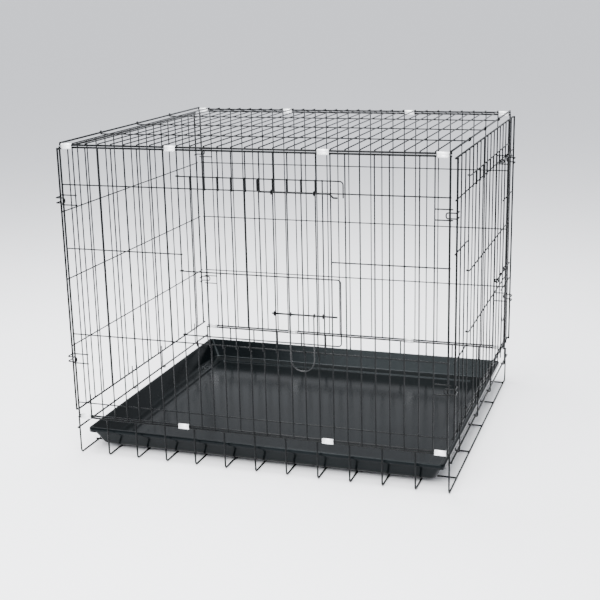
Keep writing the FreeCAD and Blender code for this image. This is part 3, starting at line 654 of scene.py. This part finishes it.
# ------------------------------------------------------------------ sheet clips
# Bright zinc-plated strips rolled round two wires at a time: the base's lip and a panel's
# bottom wire, or a panel's top wire and the top's edge wire. Each is pinched between them and
# closes in a seam on the side that faces into the crate.
CLIP_SHEET = 0.001
SEAM_GAP = 0.0006
CLIP_EDGE = 0.0002
CLIP_PINCH = 0.0011             # how far each side is pressed in between the two wires
PINCH_EASE = 0.0002             # how much less at the ends of the pinched stretch
PINCH_REACH = 0.28              # half length of that stretch, and where a lobe begins: shares of
LOBE_REACH = 0.8                # the way from the middle to a lobe's centre
LOBE_STEPS = 12
SHARP_EDGE = 60                 # degrees, past which an edge is eased
ZINC_DARK = (0.82, 0.83, 0.84)
ZINC_PALE = (0.93, 0.94, 0.95)


def zinc_finish():
    """Bright zinc plate: pale grey-white metal with soft spangle and rolling lines."""
    material = bpy.data.materials.new("bright zinc plate")
    material.use_nodes = True
    nodes = material.node_tree.nodes
    link = material.node_tree.links.new
    shader = nodes["Principled BSDF"]
    place = nodes.new("ShaderNodeTexCoord")
    spangle = nodes.new("ShaderNodeTexVoronoi")
    spangle.inputs["Scale"].default_value = 260
    link(place.outputs["Object"], spangle.inputs["Vector"])
    tint = nodes.new("ShaderNodeValToRGB")
    tint.color_ramp.elements[0].color = (*ZINC_DARK, 1)
    tint.color_ramp.elements[1].color = (*ZINC_PALE, 1)
    link(spangle.outputs["Distance"], tint.inputs["Fac"])
    link(tint.outputs["Color"], shader.inputs["Base Color"])
    stretch = nodes.new("ShaderNodeMapping")
    stretch.inputs["Scale"].default_value = (60, 1600, 1600)
    link(place.outputs["Object"], stretch.inputs["Vector"])
    lines = nodes.new("ShaderNodeTexNoise")
    lines.inputs["Scale"].default_value = 1
    lines.inputs["Detail"].default_value = 5
    link(stretch.outputs["Vector"], lines.inputs["Vector"])
    gloss = nodes.new("ShaderNodeMapRange")
    gloss.inputs["To Min"].default_value = 0.3
    gloss.inputs["To Max"].default_value = 0.55
    link(lines.outputs["Fac"], gloss.inputs["Value"])
    link(gloss.outputs["Result"], shader.inputs["Roughness"])
    rolled = nodes.new("ShaderNodeBump")
    rolled.inputs["Strength"].default_value = 0.4
    rolled.inputs["Distance"].default_value = 0.00008
    link(lines.outputs["Fac"], rolled.inputs["Height"])
    link(rolled.outputs["Normal"], shader.inputs["Normal"])
    shader.inputs["Metallic"].default_value = 0.3
    return material


def clip_sheet(width, depth, height, seam_side):
    """One clip about the origin: a strip bent into a pinched slot, open at its seam."""
    lobe = depth / 2 - CLIP_SHEET / 2
    rise = height / 2 - depth / 2
    pinch = lobe - CLIP_PINCH
    eased = pinch + PINCH_EASE
    right = [(lobe, rise * LOBE_REACH), (eased, rise * PINCH_REACH), (pinch, 0.0),
             (eased, -rise * PINCH_REACH), (lobe, -rise * LOBE_REACH)]
    top = [(lobe * math.cos(a), rise + lobe * math.sin(a))
           for a in (math.pi * step / LOBE_STEPS for step in range(LOBE_STEPS, -1, -1))]
    bottom = [(lobe * math.cos(a), -rise + lobe * math.sin(a))
              for a in (-math.pi * step / LOBE_STEPS for step in range(LOBE_STEPS + 1))]
    left_up = [(-lobe, -rise * LOBE_REACH), (-eased, -rise * PINCH_REACH), (-pinch, -SEAM_GAP / 2)]
    left_down = [(-pinch, SEAM_GAP / 2), (-eased, rise * PINCH_REACH), (-lobe, rise * LOBE_REACH)]
    line = [Vector(p) for p in left_down + top + right + bottom + left_up]
    work = bmesh.new()
    rows = []
    for index, here in enumerate(line):
        before = line[max(index - 1, 0)]
        after = line[min(index + 1, len(line) - 1)]
        heading = (after - before).normalized()
        normal = Vector((-heading.y, heading.x)) * (CLIP_SHEET / 2)
        row = []
        for x, offset in ((-width / 2, 1), (width / 2, 1), (width / 2, -1), (-width / 2, -1)):
            spot = here + normal * offset
            row.append(work.verts.new((x, -seam_side * spot.x, spot.y)))
        rows.append(row)
    for before, after in zip(rows, rows[1:]):
        for index in range(4):
            following = (index + 1) % 4
            work.faces.new((before[index], before[following], after[following], after[index]))
    work.faces.new(rows[0])
    work.faces.new(rows[-1][::-1])
    bmesh.ops.recalc_face_normals(work, faces=work.faces)
    edges = [edge for edge in work.edges if edge.calc_face_angle(0) > math.radians(SHARP_EDGE)]
    bmesh.ops.bevel(work, geom=edges, offset=CLIP_EDGE, segments=2, affect="EDGES")
    for face in work.faces:
        face.smooth = True
    mesh = bpy.data.meshes.new("clip_sheet")
    work.to_mesh(mesh)
    work.free()
    return bpy.data.objects.new("clip_sheet", mesh)


def placing_tree():
    """Geometry nodes that put a copy of one shape at each point, turned so that its own Z runs
    along the point's stored direction, and sized by its stored size with a little unevenness."""
    tree = bpy.data.node_groups.new("Placed copies", "GeometryNodeTree")
    tree.interface.new_socket("Points", in_out="INPUT", socket_type="NodeSocketGeometry")
    tree.interface.new_socket("Shape", in_out="INPUT", socket_type="NodeSocketObject")
    tree.interface.new_socket("Unevenness", in_out="INPUT", socket_type="NodeSocketFloat")
    tree.interface.new_socket("Seed", in_out="INPUT", socket_type="NodeSocketInt")
    tree.interface.new_socket("Finish", in_out="INPUT", socket_type="NodeSocketMaterial")
    tree.interface.new_socket("Copies", in_out="OUTPUT", socket_type="NodeSocketGeometry")
    node = tree.nodes.new
    link = tree.links.new
    given = node("NodeGroupInput")
    points = node("GeometryNodeMeshToPoints")
    link(given.outputs["Points"], points.inputs["Mesh"])
    shape = node("GeometryNodeObjectInfo")
    link(given.outputs["Shape"], shape.inputs["Object"])
    direction = node("GeometryNodeInputNamedAttribute")
    direction.data_type = "FLOAT_VECTOR"
    direction.inputs["Name"].default_value = "direction"
    turn = node("FunctionNodeAlignRotationToVector")
    turn.axis = "Z"
    link(direction.outputs["Attribute"], turn.inputs["Vector"])
    size = node("GeometryNodeInputNamedAttribute")
    size.inputs["Name"].default_value = "size"
    least = node("ShaderNodeMath")
    least.operation = "SUBTRACT"
    least.inputs[0].default_value = 1.0
    link(given.outputs["Unevenness"], least.inputs[1])
    uneven = node("FunctionNodeRandomValue")
    uneven.data_type = "FLOAT"
    link(least.outputs["Value"], uneven.inputs[2])
    uneven.inputs[3].default_value = 1.0
    link(given.outputs["Seed"], uneven.inputs["Seed"])
    scale = node("ShaderNodeMath")
    scale.operation = "MULTIPLY"
    link(size.outputs["Attribute"], scale.inputs[0])
    link(uneven.outputs[1], scale.inputs[1])
    copies = node("GeometryNodeInstanceOnPoints")
    link(points.outputs["Points"], copies.inputs["Points"])
    link(shape.outputs["Geometry"], copies.inputs["Instance"])
    link(turn.outputs["Rotation"], copies.inputs["Rotation"])
    link(scale.outputs["Value"], copies.inputs["Scale"])
    real = node("GeometryNodeRealizeInstances")
    link(copies.outputs["Instances"], real.inputs["Geometry"])
    paint = node("GeometryNodeSetMaterial")
    link(real.outputs["Geometry"], paint.inputs["Geometry"])
    link(given.outputs["Finish"], paint.inputs["Material"])
    result = node("NodeGroupOutput")
    link(paint.outputs["Geometry"], result.inputs["Copies"])
    return tree


def placed_points(name, spots):
    """A mesh of loose points, each with a direction and a size. A spot is (place, direction, size)."""
    mesh = bpy.data.meshes.new(name)
    mesh.from_pydata([place for place, _, _ in spots], [], [])
    directions = [value for _, direction, _ in spots for value in direction]
    mesh.attributes.new("direction", "FLOAT_VECTOR", "POINT").data.foreach_set("vector", directions)
    sizes = [size for _, _, size in spots]
    mesh.attributes.new("size", "FLOAT", "POINT").data.foreach_set("value", sizes)
    return mesh


PLACED_COPIES = placing_tree()
ZINC = zinc_finish()
for side, seam_side in (("front", 1), ("back", -1)):
    boxes = shells(f"{side}_clips")
    low, high = boxes[0]
    shape = clip_sheet(*(high - low), seam_side)
    spots = [((low + high) / 2, upwards, 1.0) for low, high in boxes]
    mesh = placed_points(f"{side}_clips", spots)
    piece = made_by(PLACED_COPIES, mesh, f"{side}_clips_zinc", {
        "Shape": shape, "Unevenness": 0.0, "Seed": 1, "Finish": ZINC})
    bpy.data.objects.remove(shape)
    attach(piece, f"{side}_panel")
    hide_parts(f"{side}_clips")


# ------------------------------------------------------------------ welds
# Where two wires of one mat cross, the press sinks them into each other and squeezes out a
# small flat collar, which the coating then rounds over.
WELD_GAP = 0.0003               # how far from touching two crossing wires may be
WELD_SPREAD = 1.22              # radius of a collar, in radii of the finer wire
WELD_DEPTH = 0.62
WELD_UNEVENNESS = 0.18          # how much smaller the smallest collars are

shape_mesh = bpy.data.meshes.new("weld_collar")
work = bmesh.new()
bmesh.ops.create_uvsphere(work, u_segments=10, v_segments=6, radius=1.0)
for vertex in work.verts:
    vertex.co = Vector((vertex.co.x * WELD_SPREAD, vertex.co.y * WELD_SPREAD, vertex.co.z * WELD_DEPTH))
for face in work.faces:
    face.smooth = True
work.to_mesh(shape_mesh)
work.free()
collar = bpy.data.objects.new("weld_collar", shape_mesh)
for number, (body, stretches) in enumerate(WELDED.items()):
    spots = []
    for index, one in enumerate(stretches):
        for other in stretches[index + 1:]:
            if one["axis"] == other["axis"]:
                continue
            between = 3 - one["axis"] - other["axis"]
            apart = other["place"][between] - one["place"][between]
            if abs(abs(apart) - one["radius"] - other["radius"]) > WELD_GAP:
                continue
            spot = Vector((0, 0, 0))
            spot[one["axis"]] = other["place"][one["axis"]]
            spot[other["axis"]] = one["place"][other["axis"]]
            spot[between] = one["place"][between] + math.copysign(one["radius"], apart)
            if (one["low"] <= spot[one["axis"]] <= one["high"]
                    and other["low"] <= spot[other["axis"]] <= other["high"]):
                direction = Vector((0, 0, 0))
                direction[between] = 1
                spots.append((spot, direction, min(one["radius"], other["radius"])))
    if spots:
        mesh = placed_points(f"{body}_welds", spots)
        piece = made_by(PLACED_COPIES, mesh, f"{body}_welds", {
            "Shape": collar, "Unevenness": WELD_UNEVENNESS, "Seed": number, "Finish": COATED})
        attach(piece, body)
bpy.data.objects.remove(collar)


# ------------------------------------------------------------------ studio
# A pale floor and a pale, even sky, with one soft light above the crate and a larger one in
# front. The floor is brighter near the crate than far behind it.
FLOOR_SIZE = 600
LIGHTS = (                      # name, place, width and power
    ("overhead", (-0.5, 0.3, 2.5), 1.4, 130),
    ("front fill", (0.2, -2.4, 2.7), 3.0, 360))
LIT_PLACE = Vector((0, 0, 0.3))
FOCAL_LENGTH = 69.49
CAMERA_PLACE = (0.9072, -2.7291, 1.0814)
CAMERA_TURN = (74.991, 1.254, 18.383)       # degrees about X, Y and Z

floor_mesh = bpy.data.meshes.new("studio_floor")
side = FLOOR_SIZE / 2
floor_corners = [(-side, -side, 0), (side, -side, 0), (side, side, 0), (-side, side, 0)]
floor_mesh.from_pydata(floor_corners, [], [(0, 1, 2, 3)])
floor_paint = bpy.data.materials.new("studio floor")
floor_paint.use_nodes = True
paper = floor_paint.node_tree.nodes["Principled BSDF"]
paper.inputs["Base Color"].default_value = (0.95, 0.955, 0.975, 1)
paper.inputs["Roughness"].default_value = 0.75
floor_mesh.materials.append(floor_paint)
floor = bpy.data.objects.new("studio_floor", floor_mesh)
bpy.context.collection.objects.link(floor)

world = bpy.data.worlds.new("studio")
world.use_nodes = True
sky = world.node_tree.nodes["Background"]
sky.inputs["Color"].default_value = (0.93, 0.95, 1.0, 1)
sky.inputs["Strength"].default_value = 1.15
bpy.context.scene.world = world

for name, place, size, power in LIGHTS:
    light = bpy.data.lights.new(name, "AREA")
    light.size = size
    light.energy = power
    lamp = bpy.data.objects.new(name, light)
    lamp.location = place
    lamp.rotation_euler = (LIT_PLACE - Vector(place)).to_track_quat("-Z", "Y").to_euler()
    bpy.context.collection.objects.link(lamp)

lens = bpy.data.cameras.new("camera")
lens.lens = FOCAL_LENGTH
camera = bpy.data.objects.new("camera", lens)
camera.location = CAMERA_PLACE
camera.rotation_euler = [math.radians(angle) for angle in CAMERA_TURN]
bpy.context.collection.objects.link(camera)
bpy.context.scene.camera = camera
